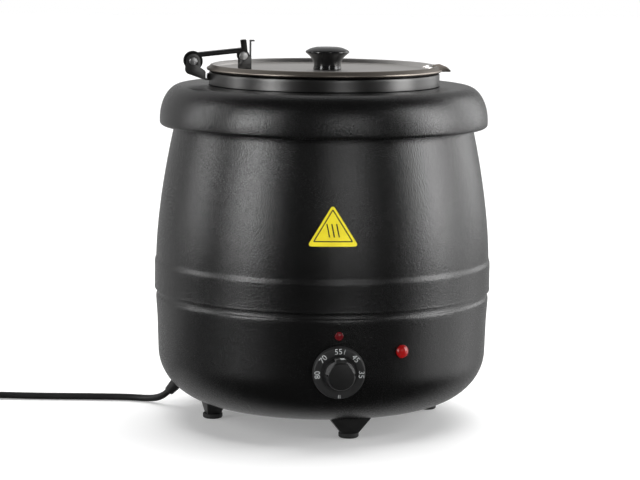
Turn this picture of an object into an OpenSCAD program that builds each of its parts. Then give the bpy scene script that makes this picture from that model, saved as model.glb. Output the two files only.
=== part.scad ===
// Wet-heat soup kettle with a lift-out food pot and a hinged, two-pivot lid.
// Origin on the worktop under the kettle's axis, +Z up, dial facing -Y, lid hinge towards -X.

/* [Body] */
// Outside radius of the body at the seam
body_r = 170; // [169:0.5:171]
// Thickness of the pressed steel sheet
sheet_t = 1.2; // [1:0.1:1.4]
// Height of the seam between the two shells
seam_z = 132; // [128:1:136]
// Height of the step where the belt meets the shoulder
step_z = 162; // [160:1:166]
// How far the belt stands proud of the shoulder
step_out = 1.3; // [0.8:0.1:1.5]
// Underside of the collar
collar_z = 296.5; // [294:0.5:298]
// Flat top of the collar
collar_top_z = 337; // [336.5:0.5:339]
// Outside radius of the collar
collar_r = 165.2; // [164:0.2:167]
// Lowest point of the lower shell
belly_z = 17.5; // [17:0.5:19]

/* [Food pot] */
// Outside radius of the pot below its rim band
pot_r = 112; // [110:0.5:112.5]
// Outside radius of the rim band
band_r = 116; // [115.8:0.1:116.5]
// Underside of the pot
pot_z = 97; // [92:1:110]
// Thickness of the stainless sheet
steel_t = 0.8; // [0.7:0.1:1]

/* [Lid] */
// Height of the lid's flat top
lid_z = 352; // [352:0.2:353]
// Radius of the rim's crest
crest_r = 113; // [112:0.5:114]
// Width of the ladle notch
notch_w = 26; // [22:1:30]
// Largest radius of the lid knob
knob_r = 22; // [20:0.5:24]
// How far the knob stands from the lid's centre, towards the ladle notch
knob_x = 3; // [0:0.5:5]

/* [Controls] */
// Height of the dial's axis
dial_z = 76; // [75:0.5:78]
// Radius of the dial's skirt
dial_r = 25.4; // [24.6:0.2:27]
// How far the dial's grip stands out from the skirt's back
dial_depth = 25; // [22:1:28]
// Angle of the pilot lamp from the dial, seen from above
lamp_turn = 21.8; // [20:0.2:26]
// Height of the pilot lamp
lamp_z = 93; // [90:1:98]

/* [Feet] */
// Radius of the circle that the feet stand on
foot_circle_r = 113; // [111:1:115]
// Angle of the first foot from the dial, seen from above
foot_turn = 8.4; // [5:0.2:12]
// Radius of a foot's rubber pad
pad_r = 10; // [9:0.5:11]

/* [Mains lead] */
// Diameter of the lead
cord_d = 7; // [6.5:0.5:7.5]
// Angle of the cord gland behind the hinge side, seen from above
gland_turn = 16; // [14:1:18]

/* [Hidden] */
$fn = 96;

// Body profile
neck_drop = 17.1;
neck_power = 1.65;
neck_span = 129;
neck_z = 326;
neck_flange_r = 132;
step_half = 3.2;
step_points = 6;
lap_r = body_r - sheet_t;
lap_h = 9;
groove_h = 5;
groove_in = 1.5;
edge_out = 0.3;
low_r = lap_r - 1.4;
bowl_z = 70;
bowl_edge_r = low_r - 1;
bowl_rx = 60.2;
bowl_rz = bowl_z - belly_z;
bowl_cx = bowl_edge_r - bowl_rx;
opening_r = 97;
smooth_steps = 14;

// Collar
mouth_r = 114.7;
mouth_lip = 8.5;
collar_flat_r = 143.5;
collar_waist_z = 302.5;
collar_curl = 3.5;
post_ring_r = 135.6;
post_r = 4;
post_count = 4;

// Water pan and element
pan_r = 126;
pan_t = 1;
pan_z = 79;
pan_corner = 16;
pan_flange_r = 140;
pan_flange_z = neck_z + sheet_t;
stud_r = 3;
stud_z = 60;
element_r = 85;
element_tube_r = 4;
element_sweep = 330;
clamp_w = 24;
clamp_t = 1.5;

// Base and feet
plate_t = 1.5;
plate_r = opening_r + 7;
plate_z = belly_z + sheet_t;
base_screw_ring_r = 100.5;
pad_h = 5;
foot_top_w = 40;
foot_neck_w = 17;
foot_shoulder_z = 19.5;
foot_screw_r = 2.5;

// Controls on the front
dial_gap_y = 169.5;
dial_skirt_h = 7;
shaft_r = 3;
shaft_clear = 0.05;
stat_face_y = 162;
stat_w = 38;
stat_d = 24;
stat_screw_x = 14;
index_z = 110.5;
index_r = 4.1;
lamp_r = 6.5;
label_z = 196;
label_side = 49;
label_h = 39.8;
label_corner = 4;
label_x = -6.4;
label_t = 0.3;
label_gap = 0.02;

// Gland, lead, coil and plug
cord_r = cord_d / 2;
gland_slope = 48;
gland_ring_r = 146;
gland_z = 31;
gland_flange_r = 9.5;
gland_body_r = 6.5;
gland_out = 22;
route = [[-148, 42.5, 22], [-155, 45, 14.5], [-161, 49.5, 9], [-168, 55.5, 5.5], [-177, 62, 3.8],
         [-188, 67, 3.5], [-202, 70.5, 3.5], [-225, 73.5, 3.5], [-255, 76.5, 3.5], [-290, 80, 3.5],
         [-325, 84, 3.8], [-364, 88, 4.2], [-392, 89.3, 4.5]];
coil_x = -400;
coil_y = 44;
coil_lift = 1;
coil_in_r = 35;
coil_out_r = 49;
coil_h = 20;
tail_route = [[-445.5, 44, 18.5], [-445.5, 34, 18.5], [-445.5, 24, 18.5], [-445.5, 12, 18.5]];
plug_r = 18.5;
plug_y = 1;
plug_len = 46;
pin_gap = 19;

// Lid hinge, as points in the X-Z plane
pivot_1 = [-132, 360.5];
pivot_2 = [-82, 366];
arm_len = norm(pivot_2 - pivot_1);
arm_tilt = atan2(pivot_2[1] - pivot_1[1], pivot_2[0] - pivot_1[0]);
pin_r = 2.5;
pin_clear = 0.06;
cheek_in = 7.4;
cheek_t = 1.2;
arm_half = 7;
arm_t = 1.2;
ear_r = 9.5;
notch_in = 105;
notch_out = 126.5;

// Small fixings, and long drills that pass right through
screw_r = 2;
rivet_r = 1.2;
rivet_head_r = 2.2;
rivet_gap = 3.5;
rivet_z = 345.5;
lid_rivet_gap = 3.8;
knob_screw_r = 2.5;
wire_r = 1.3;
small_fn = 32;
big_fn = 64;
through = 40;
shell_in_y = 150;

// ---------- helpers ----------

function arc(cx, cz, rx, rz, a0, a1, n) =
    [for (i = [0:n]) let (a = a0 + (a1 - a0) * i / n) [cx + rx * cos(a), cz + rz * sin(a)]];
function shoulder_r(z) = body_r - step_out - neck_drop * pow(max(0, z - step_z) / neck_span, neck_power);
function inward(points, t) = [for (i = [len(points) - 1:-1:0]) [points[i][0] - t, points[i][1]]];
function unit(v) = v / norm(v);

// Catmull-Rom points along a route, several to each stretch
function at(p, i) = p[min(max(i, 0), len(p) - 1)];
function blend(p, i, t) = 0.5 * (2 * at(p, i) + (at(p, i + 1) - at(p, i - 1)) * t
    + (2 * at(p, i - 1) - 5 * at(p, i) + 4 * at(p, i + 1) - at(p, i + 2)) * t * t
    + (3 * at(p, i) - at(p, i - 1) - 3 * at(p, i + 1) + at(p, i + 2)) * t * t * t);
function smooth_route(p, n) = concat(
    [for (i = [0:len(p) - 2], k = [0:n - 1]) blend(p, i, k / n)], [p[len(p) - 1]]);
function ring(c, d, r, sides) = let (s = unit(cross(d, [0, 0, 1])), u = cross(s, d))
    [for (k = [0:sides - 1]) c + r * (cos(360 * k / sides) * s + sin(360 * k / sides) * u)];

module swept_tube(p, r, sides = 10) {
    n = len(p);
    points = [for (i = [0:n - 1]) each ring(p[i], unit(at(p, i + 1) - at(p, i - 1)), r, sides)];
    walls = [for (i = [0:n - 2], k = [0:sides - 1]) let (j = (k + 1) % sides)
        [i * sides + k, (i + 1) * sides + k, (i + 1) * sides + j, i * sides + j]];
    start = [for (k = [0:sides - 1]) k];
    finish = [for (k = [sides - 1:-1:0]) (n - 1) * sides + k];
    polyhedron(points, concat(walls, [start, finish]));
}

// An outline in the X-Z plane, t thick from y0 towards +Y
module plate_xz(y0, t) {
    translate([0, y0 + t, 0]) rotate([90, 0, 0]) linear_extrude(t) children();
}

// Something built along -Y at the origin, put on the body at an angle from the dial
module on_front(turn, y, z) {
    rotate([0, 0, turn]) translate([0, -y, z]) rotate([90, 0, 0]) children();
}

module at_feet(ring_r, turn) {
    for (i = [0:3]) rotate([0, 0, turn + 90 * i]) translate([0, -ring_r, 0]) children();
}

module gland_frame() {
    rotate([0, 0, 180 - gland_turn]) translate([gland_ring_r, 0, gland_z]) rotate([0, 90 + gland_slope, 0])
        children();
}

// ---------- shells ----------

module lower_outline() {
    side = [[lap_r, seam_z + lap_h], [lap_r, seam_z + 0.5], [lap_r - groove_in, seam_z - 0.5],
        [lap_r - groove_in, seam_z - groove_h], [lap_r - edge_out, seam_z - groove_h - 1.6],
        [lap_r, seam_z - groove_h - 3.5], [low_r, seam_z - 30]];
    outer = concat(side, arc(bowl_cx, bowl_z, bowl_rx, bowl_rz, 0, -90, smooth_steps));
    inner = concat(arc(bowl_cx, bowl_z, bowl_rx - sheet_t, bowl_rz - sheet_t, -90, 0, smooth_steps),
        inward(side, sheet_t));
    polygon(concat(outer, [[opening_r, belly_z], [opening_r, belly_z + sheet_t]], inner));
}

module lower_solid() {
    rotate_extrude() polygon(concat([[0, seam_z], [lap_r, seam_z], [low_r, seam_z - 30]],
        arc(bowl_cx, bowl_z, bowl_rx, bowl_rz, 0, -90, smooth_steps), [[0, belly_z]]));
}

module lower_shell() {
    color("#1c1c1e") difference() {
        rotate_extrude() lower_outline();
        on_front(0, shell_in_y, dial_z) cylinder(r = 5.5, h = through);
        for (s = [-1, 1]) translate([s * stat_screw_x, 0, 0]) on_front(0, shell_in_y, dial_z)
            cylinder(r = screw_r, h = through);
        on_front(0, shell_in_y, index_z) cylinder(r = index_r - 0.5, h = through);
        on_front(lamp_turn, shell_in_y, lamp_z) cylinder(r = lamp_r - 1, h = through);
        at_feet(foot_circle_r, foot_turn) cylinder(r = foot_screw_r, h = through);
        at_feet(base_screw_ring_r, foot_turn + 45) cylinder(r = screw_r, h = through);
        gland_frame() translate([0, 0, -20]) cylinder(r = gland_body_r, h = through);
    }
}

module upper_shell() {
    steps = smooth_steps + 4;
    top_z = neck_z + sheet_t;
    outer = concat([[body_r, seam_z]],
        [for (i = [0:step_points - 1]) let (t = i / step_points)
            [body_r - step_out * (1 - cos(180 * t)) / 2, step_z + step_half * (2 * t - 1)]],
        [for (i = [0:steps]) let (z = step_z + step_half + (neck_z - step_z - step_half) * i / steps)
            [shoulder_r(z), z]]);
    color("#1c1c1e") difference() {
        rotate_extrude() polygon(concat(outer,
            [[shoulder_r(neck_z), top_z], [neck_flange_r, top_z], [neck_flange_r, neck_z]],
            inward(outer, sheet_t)));
        at_posts() translate([0, 0, neck_z - 1]) cylinder(r = screw_r, h = 4);
    }
}

module top_collar() {
    rx = collar_r - collar_flat_r;
    rz = collar_top_z - collar_waist_z;
    curl_x = collar_r - collar_curl;
    curl_z = collar_z + collar_curl;
    hem_r = shoulder_r(collar_z) + 0.1;
    outer = concat([[mouth_r, collar_top_z - mouth_lip], [mouth_r, collar_top_z]],
        arc(collar_flat_r, collar_waist_z, rx, rz, 90, 0, smooth_steps),
        arc(curl_x, curl_z, collar_curl, collar_curl, 0, -90, 5), [[hem_r, collar_z]]);
    inner = concat([[hem_r, collar_z + sheet_t]],
        arc(curl_x, curl_z, collar_curl - sheet_t, collar_curl - sheet_t, -90, 0, 5),
        arc(collar_flat_r, collar_waist_z, rx - sheet_t, rz - sheet_t, 0, 90, smooth_steps),
        [[mouth_r + sheet_t, collar_top_z - sheet_t], [mouth_r + sheet_t, collar_top_z - mouth_lip]]);
    color("#1c1c1e") rotate_extrude() polygon(concat(outer, inner));
}

module at_posts() {
    for (i = [0:post_count - 1]) rotate([0, 0, 45 + 360 * i / post_count]) translate([post_ring_r, 0, 0])
        children();
}

module collar_posts() {
    base_z = pan_flange_z + pan_t;
    color("silver") at_posts() difference() {
        translate([0, 0, base_z]) cylinder(r = post_r, h = collar_top_z - sheet_t - base_z);
        translate([0, 0, base_z - 1]) cylinder(r = screw_r, h = 6);
    }
}

module collar_screws() {
    color("silver") at_posts() {
        translate([0, 0, neck_z - 2.5]) cylinder(r = 3.8, h = 2.5);
        translate([0, 0, neck_z]) cylinder(r = screw_r, h = 7);
    }
}

// ---------- heating ----------

module water_pan() {
    flange_top = pan_flange_z + pan_t;
    corner_x = pan_r + pan_t - pan_corner;
    corner_z = pan_z + pan_corner;
    outline = concat([[pan_r, flange_top], [pan_flange_r, flange_top], [pan_flange_r, pan_flange_z],
        [pan_r + pan_t, pan_flange_z]], arc(corner_x, corner_z, pan_corner, pan_corner, 0, -90, 8),
        [[0, pan_z], [0, pan_z + pan_t]],
        arc(corner_x, corner_z, pan_corner - pan_t, pan_corner - pan_t, -90, 0, 8));
    color("#b9bcc0") difference() {
        union() {
            rotate_extrude() polygon(outline);
            translate([0, 0, stud_z]) cylinder(r = stud_r, h = pan_z - stud_z + 0.5);
        }
        at_posts() translate([0, 0, pan_flange_z - 1]) cylinder(r = screw_r, h = 4);
    }
}

module heating_element() {
    z = pan_z - element_tube_r;
    gap = 360 - element_sweep;
    color("#8a8580") {
        rotate([0, 0, 90 + gap / 2]) rotate_extrude(angle = element_sweep) translate([element_r, z])
            circle(r = element_tube_r, $fn = small_fn);
        for (s = [-1, 1]) rotate([0, 0, 90 + s * gap / 2]) translate([element_r, 0, z - 26])
            cylinder(r = element_tube_r - 0.5, h = 27, $fn = small_fn);
    }
}

module element_clamp() {
    z = pan_z - 2 * element_tube_r - clamp_t;
    color("silver") difference() {
        translate([-element_r - 8, -clamp_w / 2, z]) cube([2 * element_r + 16, clamp_w, clamp_t]);
        translate([0, 0, z - 1]) cylinder(r = stud_r, h = clamp_t + 2);
    }
}

module clamp_nut() {
    z = pan_z - 2 * element_tube_r - clamp_t - 5;
    color("silver") difference() {
        translate([0, 0, z]) cylinder(r = 5.8, h = 5, $fn = 6);
        translate([0, 0, z - 1]) cylinder(r = stud_r, h = 7);
    }
}

module thermal_cutout() {
    color("#d8d2c4") translate([38, 30, pan_z]) {
        translate([0, 0, -2]) cylinder(r = 8, h = 2);
        translate([0, 0, -9]) cylinder(r = 6.5, h = 7);
        for (s = [-1, 1]) translate([s * 3.5 - 0.4, -3, -16]) cube([0.8, 6, 7]);
    }
}

// ---------- base and feet ----------

module base_plate() {
    slots = 12;
    color("#9a9ca0") difference() {
        translate([0, 0, plate_z]) cylinder(r = plate_r, h = plate_t);
        for (i = [0:slots - 1]) rotate([0, 0, 360 * (i + 0.5) / slots])
            translate([45, -2, plate_z - 1]) cube([30, 4, plate_t + 2]);
        at_feet(base_screw_ring_r, foot_turn + 45) cylinder(r = screw_r, h = through);
        translate([30, 60, 0]) cylinder(r = screw_r, h = through);
    }
}

module base_screws() {
    color("silver") at_feet(base_screw_ring_r, foot_turn + 45) {
        translate([0, 0, belly_z - 2.2]) cylinder(r = 3.3, h = 2.2, $fn = small_fn);
        translate([0, 0, belly_z]) cylinder(r = screw_r, h = 8, $fn = small_fn);
    }
}

module foot(i) {
    top_z = 27;
    color("#161617") rotate([0, 0, foot_turn + 90 * i]) difference() {
        intersection() {
            translate([0, -foot_circle_r, 0]) plate_xz(-12, 24)
                polygon([[-foot_neck_w / 2, pad_h], [foot_neck_w / 2, pad_h],
                    [foot_top_w / 2, foot_shoulder_z], [foot_top_w / 2, top_z],
                    [-foot_top_w / 2, top_z], [-foot_top_w / 2, foot_shoulder_z]]);
            translate([0, -foot_circle_r, 0]) rotate([0, 0, 90]) plate_xz(-foot_top_w / 2, foot_top_w)
                polygon([[-7, pad_h], [7, pad_h], [11, top_z], [-11, top_z]]);
        }
        rotate([0, 0, -foot_turn - 90 * i]) lower_solid();
        translate([0, -foot_circle_r, 0]) cylinder(r = foot_screw_r, h = through);
    }
}

module foot_pad(i) {
    color("#0e0e0f") rotate([0, 0, foot_turn + 90 * i]) translate([0, -foot_circle_r, 0]) difference() {
        rotate_extrude() polygon([[0, 0], [pad_r - 1, 0], [pad_r, 1], [pad_r, pad_h - 0.5],
            [pad_r - 0.5, pad_h], [0, pad_h]]);
        translate([0, 0, -1]) cylinder(r = 5, h = 3);
        cylinder(r = foot_screw_r, h = 10);
    }
}

module foot_screws() {
    color("silver") at_feet(foot_circle_r, foot_turn) {
        translate([0, 0, 0.4]) cylinder(r = 4.6, h = 1.6, $fn = small_fn);
        translate([0, 0, 2]) cylinder(r = foot_screw_r, h = 25, $fn = small_fn);
    }
}

module foot_nuts() {
    color("silver") at_feet(foot_circle_r, foot_turn) difference() {
        translate([0, 0, belly_z + 3]) cylinder(r = 4.4, h = 4, $fn = 6);
        cylinder(r = foot_screw_r, h = 40, $fn = small_fn);
    }
}

// ---------- controls ----------

module thermostat_body() {
    color("#cfc8b8") difference() {
        union() {
            translate([-stat_w / 2, -stat_face_y, dial_z - stat_w / 2]) cube([stat_w, stat_d, stat_w]);
            on_front(0, stat_face_y, dial_z) cylinder(r = 5, h = 6);
        }
        on_front(0, stat_face_y - 14, dial_z) cylinder(r = shaft_r + shaft_clear, h = 30);
        for (s = [-1, 1]) translate([s * stat_screw_x, 0, 0]) on_front(0, stat_face_y - 8, dial_z)
            cylinder(r = 1.6, h = 10);
    }
}

module thermostat_screws() {
    color("silver") for (s = [-1, 1]) translate([s * stat_screw_x, 0, 0]) {
        on_front(0, stat_face_y - 7, dial_z) cylinder(r = 1.6, h = 11.5, $fn = small_fn);
        on_front(0, 166.6, dial_z) cylinder(r = 3, h = 1.6, $fn = small_fn);
    }
}

module thermostat_capillary() {
    bulb_turn = 40;
    bulb_x = (pan_r + pan_t + 3) * sin(bulb_turn);
    bulb_y = -(pan_r + pan_t + 3) * cos(bulb_turn);
    back_y = -(stat_face_y - stat_d);
    color("#b87333") {
        swept_tube(smooth_route([[8, back_y, dial_z + 6], [18, back_y + 4, dial_z + 5],
            [40, back_y + 3, dial_z + 3], [60, back_y + 5, dial_z + 4], [bulb_x - 4, bulb_y - 5, 96],
            [bulb_x, bulb_y, 105]], 3), 1, 8);
        translate([bulb_x, bulb_y, 104]) cylinder(r = 3, h = 70, $fn = small_fn);
    }
}

module dial_knob() {
    color("#2a2a2c") difference() {
        on_front(0, dial_gap_y, dial_z) rotate_extrude() polygon([[0, 0], [dial_r - 0.5, 0], [dial_r, 1],
            [dial_r - 1, dial_skirt_h - 1], [dial_r - 2, dial_skirt_h], [0, dial_skirt_h]]);
        on_front(0, dial_gap_y - 1, dial_z) cylinder(r = shaft_r, h = through);
    }
}

module dial_grip() {
    y = dial_gap_y + dial_skirt_h;
    h = dial_depth - dial_skirt_h;
    color("#1b1b1d") difference() {
        union() {
            on_front(0, y, dial_z) rotate_extrude() polygon([[0, 0], [15.5, 0], [14, 4], [13, h - 2],
                [11, h], [0, h]]);
            translate([0, -y, dial_z + 8]) rotate([90, 0, 0]) linear_extrude(h - 3)
                polygon([[-6, 0], [6, 0], [5, 9], [-5, 9]]);
        }
        on_front(0, dial_gap_y - 1, dial_z) cylinder(r = shaft_r, h = 16);
    }
}

module dial_shaft() {
    color("silver") on_front(0, stat_face_y - 12, dial_z) cylinder(r = shaft_r, h = 24);
}

module index_lamp() {
    color("#c01818") on_front(0, 161, index_z) union() {
        cylinder(r = index_r - 0.5, h = 8);
        translate([0, 0, 7.3]) cylinder(r = index_r, h = 1);
        translate([0, 0, 8.3]) intersection() {
            cylinder(r = index_r, h = 4);
            translate([0, 0, -7.5]) sphere(r = 8.75);
        }
    }
}

module pilot_lamp() {
    color("#d81e1e") on_front(lamp_turn, 166.2, lamp_z) union() {
        cylinder(r = lamp_r - 1, h = 1.3);
        translate([0, 0, 1.3]) cylinder(r = lamp_r, h = 1.2);
        translate([0, 0, 2.5]) intersection() {
            cylinder(r = lamp_r, h = 8);
            translate([0, 0, -3.4]) sphere(r = norm([lamp_r, 3.4]));
        }
    }
}

module lamp_holder() {
    color("#e8e4da") on_front(lamp_turn, 140.2, lamp_z) union() {
        cylinder(r = lamp_r - 1, h = 26);
        translate([0, 0, 19]) cylinder(r = lamp_r + 2, h = 2.5);
        for (s = [-1, 1]) translate([s * 3 - 0.4, -2, -6]) cube([0.8, 4, 6]);
    }
}

module heat_label() {
    half = label_side / 2 - label_corner;
    color("#f2c811") intersection() {
        rotate_extrude() polygon([for (i = [0:8]) let (z = label_z - 5 + 6 * i)
            [shoulder_r(z) + label_t, z], for (i = [8:-1:0]) let (z = label_z - 5 + 6 * i)
            [shoulder_r(z) + label_gap, z]]);
        translate([label_x, -130, label_z]) rotate([90, 0, 0]) linear_extrude(60) union() {
            for (s = [-1, 1]) translate([s * half, label_corner]) circle(r = label_corner, $fn = small_fn);
            translate([0, label_h - label_corner]) circle(r = label_corner, $fn = small_fn);
            polygon([[-half, 0], [half, 0], [half + label_corner * cos(30), label_corner * 1.5],
                [label_corner * cos(30), label_h - label_corner / 2],
                [-label_corner * cos(30), label_h - label_corner / 2],
                [-half - label_corner * cos(30), label_corner * 1.5]]);
        }
    }
}

// ---------- wiring ----------

module terminal_block() {
    color("#e9e6df") translate([-62, 22, plate_z + plate_t]) difference() {
        cube([44, 18, 15]);
        for (i = [0:3]) translate([5.5 + 11 * i, 9, 8]) cylinder(r = 2.5, h = 10, $fn = small_fn);
    }
}

module earth_stud() {
    color("silver") translate([30, 60, plate_z - 1.8]) {
        cylinder(r = 3.6, h = 1.8, $fn = small_fn);
        cylinder(r = screw_r, h = 18, $fn = small_fn);
        translate([0, 0, 3.3]) cylinder(r = 4, h = 3.2, $fn = 6);
    }
}

module inner_wiring() {
    block_z = plate_z + plate_t + 15;
    run_z = block_z + 9;
    leg_z = pan_z - element_tube_r - 27.5;
    approach = [-4, -4, 5];
    ends = [[-22, 82, leg_z], [22, 82, leg_z], [30, 60, plate_z + 17.6]];
    color("#7a2e1c") for (k = [0:2])
        swept_tube(smooth_route([[-56.5 + 11 * k, 31, block_z + 1.5], [-55 + 12 * k, 36, run_z],
            [-46 + 14 * k, 50, run_z], ends[k] + [-3, -8, approach[k]], ends[k]], 3), wire_r, 8);
}

module cord_gland() {
    color("#121213") gland_frame() difference() {
        union() {
            translate([0, 0, -12]) cylinder(r = gland_body_r, h = 14);
            translate([0, 0, 0.6]) cylinder(r = gland_flange_r, h = 2.8);
            translate([0, 0, 3.4])
                cylinder(r1 = gland_body_r + 0.5, r2 = gland_body_r - 1.5, h = gland_out - 3.4);
        }
        translate([0, 0, -14]) cylinder(r = cord_r, h = gland_out + 20);
    }
}

module gland_nut() {
    color("#202022") gland_frame() translate([0, 0, -10]) difference() {
        cylinder(r = 10.5, h = 5, $fn = 6);
        translate([0, 0, -1]) cylinder(r = gland_body_r, h = 8);
    }
}

module mains_cord() {
    color("#101011") swept_tube(smooth_route(route, 2), cord_r);
}

module cord_coil() {
    color("#101011") translate([coil_x, coil_y, coil_lift]) rotate_extrude()
        polygon(concat(arc(coil_out_r - 4, 4, 4, 4, -90, 0, 4),
            arc(coil_out_r - 6, coil_h - 6, 6, 6, 0, 90, 4),
            arc(coil_in_r + 6, coil_h - 6, 6, 6, 90, 180, 4), arc(coil_in_r + 4, 4, 4, 4, 180, 270, 4)));
}

module cord_tie() {
    t = 0.9;
    gap = 0.3;
    coil_w = coil_out_r - coil_in_r;
    color("#303236") translate([coil_x, coil_y, 0]) rotate([0, 0, -60]) difference() {
        translate([coil_in_r - 2 * t, -3, coil_lift - t]) cube([coil_w + 3 * t, 6, coil_h + 2 * t]);
        translate([coil_in_r - gap, -4, coil_lift]) cube([coil_w + gap, 8, coil_h]);
    }
}

module cord_tail() {
    color("#101011") swept_tube(tail_route, cord_r);
}

module plug_body() {
    color("#101011") translate([tail_route[0][0], plug_y, plug_r]) rotate([90, 0, 0])
        rotate_extrude() polygon([[0, -14], [5.5, -14], [6.5, 0], [8.5, 3], [12, 10], [15.5, 16],
            [plug_r - 1, 20], [plug_r, 23], [plug_r, plug_len - 1], [plug_r - 1, plug_len], [0, plug_len]]);
}

module plug_pins() {
    pin_y = plug_y - plug_len;
    color("silver") for (s = [-1, 1]) translate([tail_route[0][0] + s * pin_gap / 2, pin_y, plug_r])
        rotate([90, 0, 0]) union() {
            cylinder(r = 2.4, h = 16.6, $fn = small_fn);
            translate([0, 0, 16.6]) sphere(r = 2.4, $fn = small_fn);
        }
}

// ---------- food pot ----------

module food_pot() {
    corner = 20;
    band_z = collar_top_z + 0.5;
    top_z = lid_z - 1.4;
    roll = 2.7;
    roll_x = band_r - roll;
    roll_z = top_z - roll;
    outer = concat([[0, pot_z]], arc(pot_r - corner, pot_z + corner, corner, corner, -90, 0, 8),
        [[pot_r, band_z], [band_r, band_z]], arc(roll_x, roll_z, roll, roll, 0, 90, 6));
    inner = concat(arc(roll_x, roll_z, roll - steel_t, roll - steel_t, 90, 0, 6),
        [[band_r - steel_t, band_z + steel_t], [pot_r - steel_t, band_z + steel_t]],
        arc(pot_r - corner, pot_z + corner, corner - steel_t, corner - steel_t, 0, -90, 8),
        [[0, pot_z + steel_t]]);
    color("#c9ccd0") difference() {
        rotate_extrude() polygon(concat(outer, inner));
        for (s = [-1, 1]) translate([-band_r - 3, s * rivet_gap, rivet_z]) rotate([0, 90, 0])
            cylinder(r = rivet_r, h = 6, $fn = small_fn);
    }
}

module hinge_bracket() {
    x = pivot_1[0];
    z = pivot_1[1];
    foot_x = -119.7;
    color("#b4b6ba") difference() {
        union() {
            for (y = [-cheek_in - cheek_t, cheek_in]) plate_xz(y, cheek_t) union() {
                translate([x, z]) circle(r = 7.2, $fn = big_fn);
                polygon([[x - 7.2, z], [x - 7.8, z - 10.2], [x - 6, z - 12.4], [foot_x, z - 18.9],
                    [foot_x, z - 10.3], [x + 7, z - 6.8], [x + 7.2, z]]);
            }
            plate_xz(-cheek_in, 2 * cheek_in) polygon([[x - 7.8, z - 10.2], [x - 6, z - 12.4],
                [foot_x, z - 18.9], [-band_r + 0.5, z - 18.9], [-band_r + 0.5, z - 17.7], [foot_x, z - 17.7],
                [x - 5.3, z - 11.2], [x - 6.6, z - 9.8]]);
            plate_xz(-6, 12) polygon([[-band_r - cheek_t, z - 18.9], [-band_r + 0.5, z - 18.9],
                [-band_r + 0.5, z - 12.5], [-band_r - cheek_t, z - 12.5]]);
        }
        translate([0, 0, 300]) cylinder(r = band_r, h = 60);
        translate([x, 20, z]) rotate([90, 0, 0]) cylinder(r = pin_r, h = through);
        for (s = [-1, 1]) translate([-band_r - 3, s * rivet_gap, rivet_z]) rotate([0, 90, 0])
            cylinder(r = rivet_r, h = 6, $fn = small_fn);
    }
}

module bracket_rivets() {
    color("silver") for (s = [-1, 1]) translate([-band_r - cheek_t, s * rivet_gap, rivet_z])
        rotate([0, 90, 0]) {
        translate([0, 0, -1]) cylinder(r = rivet_head_r, h = 1, $fn = small_fn);
        cylinder(r = rivet_r, h = 3, $fn = small_fn);
        translate([0, 0, 2.2]) cylinder(r = 2, h = 0.8, $fn = small_fn);
    }
}

// A pin across both cheeks with a flat head at each end
module cross_pin(p) {
    half = cheek_in + cheek_t;
    color("silver") translate([p[0], 0, p[1]]) rotate([90, 0, 0]) {
        cylinder(r = pin_r, h = 2 * half, center = true);
        for (s = [-1, 1]) translate([0, 0, s * (half + 0.6)]) cylinder(r = 4, h = 1.2, center = true);
    }
}

module base_pin() {
    cross_pin(pivot_1);
}

module link_arm() {
    end_s = arm_len + 4.7;
    color("#55575b") translate([pivot_1[0], 0, pivot_1[1]]) rotate([0, -arm_tilt, 0]) difference() {
        union() {
            for (y = [-arm_half, arm_half - arm_t]) plate_xz(y, arm_t) union() {
                circle(r = ear_r, $fn = big_fn);
                translate([arm_len, 0]) circle(r = 6, $fn = big_fn);
                translate([0, 3.2]) square([end_s, 4.5]);
                translate([end_s - 5.5, 0]) square([5.5, 15.5]);
            }
            plate_xz(-arm_half + arm_t, 2 * (arm_half - arm_t)) union() {
                translate([0, 6.5]) square([end_s, arm_t]);
                translate([end_s - arm_t, 6.5]) square([arm_t, 9]);
            }
        }
        for (s = [0, arm_len]) translate([s, 20, 0]) rotate([90, 0, 0])
            cylinder(r = pin_r + pin_clear, h = through);
    }
}

// ---------- lid ----------

module lid_sheet() {
    rotate_extrude() union() {
        polygon([[0, lid_z], [crest_r - 7, lid_z], [crest_r - 3.6, lid_z + 1.1], [crest_r - 1.7, lid_z + 4.2],
            [crest_r, lid_z + 5.2], [crest_r + 1.6, lid_z + 4.6], [crest_r + 4.2, lid_z + 1.2],
            [crest_r + 3.4, lid_z + 0.7], [crest_r + 1, lid_z + 3.8], [crest_r, lid_z + 4.3],
            [crest_r - 0.9, lid_z + 3.7], [crest_r - 2.8, lid_z + 0.5], [crest_r - 6.8, lid_z - steel_t],
            [0, lid_z - steel_t]]);
        translate([crest_r + 3.8, lid_z + 0.9]) circle(r = 1.5, $fn = small_fn);
    }
}

module notch_area(grow) {
    half = notch_w / 2 + grow;
    translate([notch_in + 8, 0]) circle(r = half, $fn = big_fn);
    translate([notch_in + 8, -half]) square([40, 2 * half]);
}

module lid() {
    color("#c4c6c8") difference() {
        union() {
            difference() {
                lid_sheet();
                translate([0, 0, 340]) linear_extrude(30) notch_area(0);
            }
            intersection() {
                translate([0, 0, 340]) linear_extrude(30) difference() {
                    notch_area(1);
                    notch_area(0);
                }
                plate_xz(-30, 60) polygon([[notch_in - 10, lid_z - steel_t], [notch_in - 10, lid_z + 2.5],
                    [notch_in + 6, lid_z + 4.5], [notch_in + 14, lid_z + 5.6], [notch_out - 4, lid_z + 4.2],
                    [notch_out, lid_z + 0.5], [notch_out - 0.5, lid_z - steel_t]]);
            }
        }
        translate([knob_x, 0, 340]) cylinder(r = knob_screw_r, h = 30, $fn = small_fn);
        for (s = [-1, 1]) translate([pivot_2[0] - 1, s * lid_rivet_gap, 340])
            cylinder(r = rivet_r, h = 30, $fn = small_fn);
    }
}

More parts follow.
